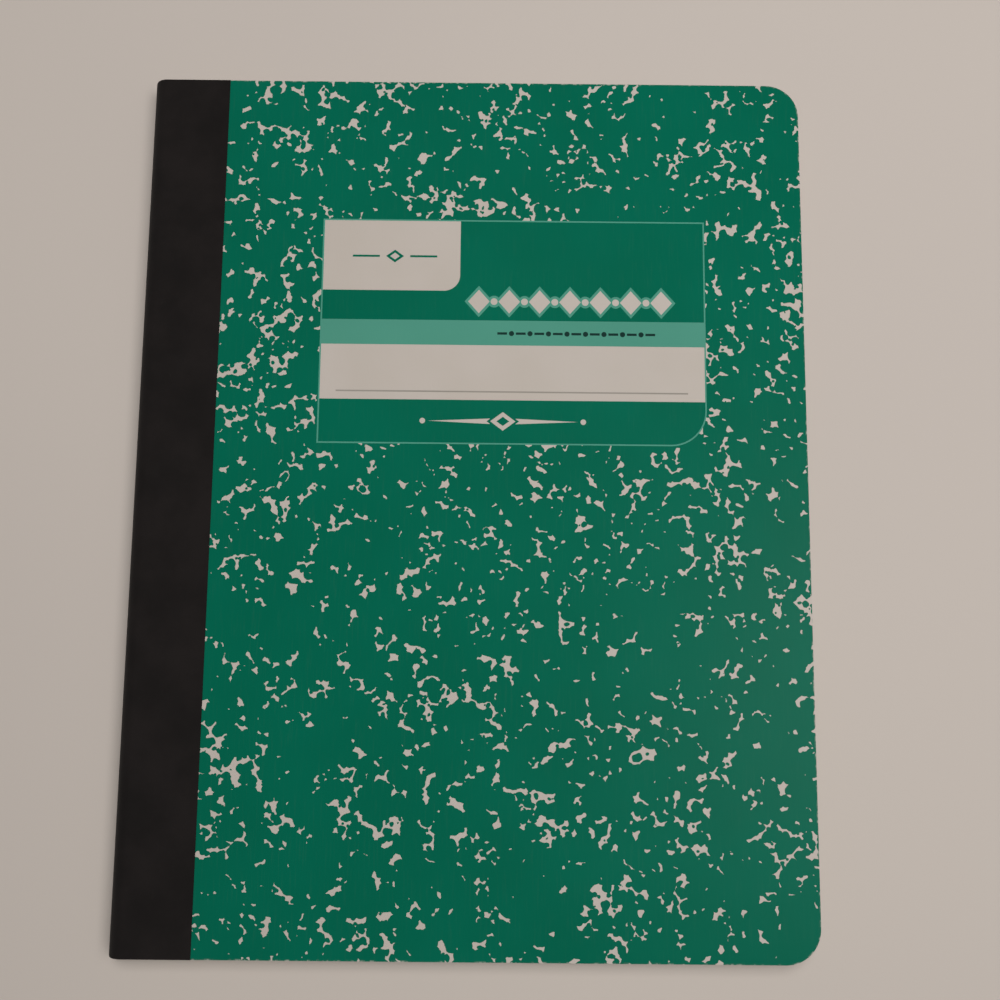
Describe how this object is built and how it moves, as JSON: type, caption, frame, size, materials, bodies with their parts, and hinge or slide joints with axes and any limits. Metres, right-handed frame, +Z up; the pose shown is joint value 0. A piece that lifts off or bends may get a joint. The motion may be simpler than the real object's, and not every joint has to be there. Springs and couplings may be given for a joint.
{
  "type": "composition notebook",
  "caption": "Folded and sewn notebook in a thin board cover with rounded fore corners and a tape spine; both covers open on hinge lines beside the spine.",
  "frame": {"origin": "on the surface that the closed notebook lies on, under the middle of its outline", "axes": "+X from the spine to the fore edge, +Y towards the head of the page, +Z up through the thickness with the front cover on top"},
  "size_m": [0.1906, 0.2476, 0.009],
  "materials": {
    "ruled_paper": "uncoated ruled writing paper",
    "cotton_thread": "natural cotton sewing thread",
    "cover_board": "printed green marble pattern on thin board, satin varnish",
    "binding_tape": "black grained binding tape, matte"
  },
  "bodies": {
    "book_block": {"page_block": "ruled_paper", "sewing_thread": "cotton_thread", "cover_spine": "cover_board", "spine_tape": "binding_tape"},
    "front_side": {"front_cover": "cover_board", "front_tape": "binding_tape"},
    "back_side": {"back_cover": "cover_board", "back_tape": "binding_tape"}
  },
  "joints": [
    {"name": "front_cover_hinge", "type": "hinge", "parent": "book_block", "child": "front_side", "pos_m": [-0.09075, 0, 0.009], "axis": [0, -1, 0], "range_deg": [0, 180]},
    {"name": "back_cover_hinge", "type": "hinge", "parent": "book_block", "child": "back_side", "pos_m": [-0.09075, 0, 0], "axis": [0, 1, 0], "range_deg": [0, 180]}
  ]
}
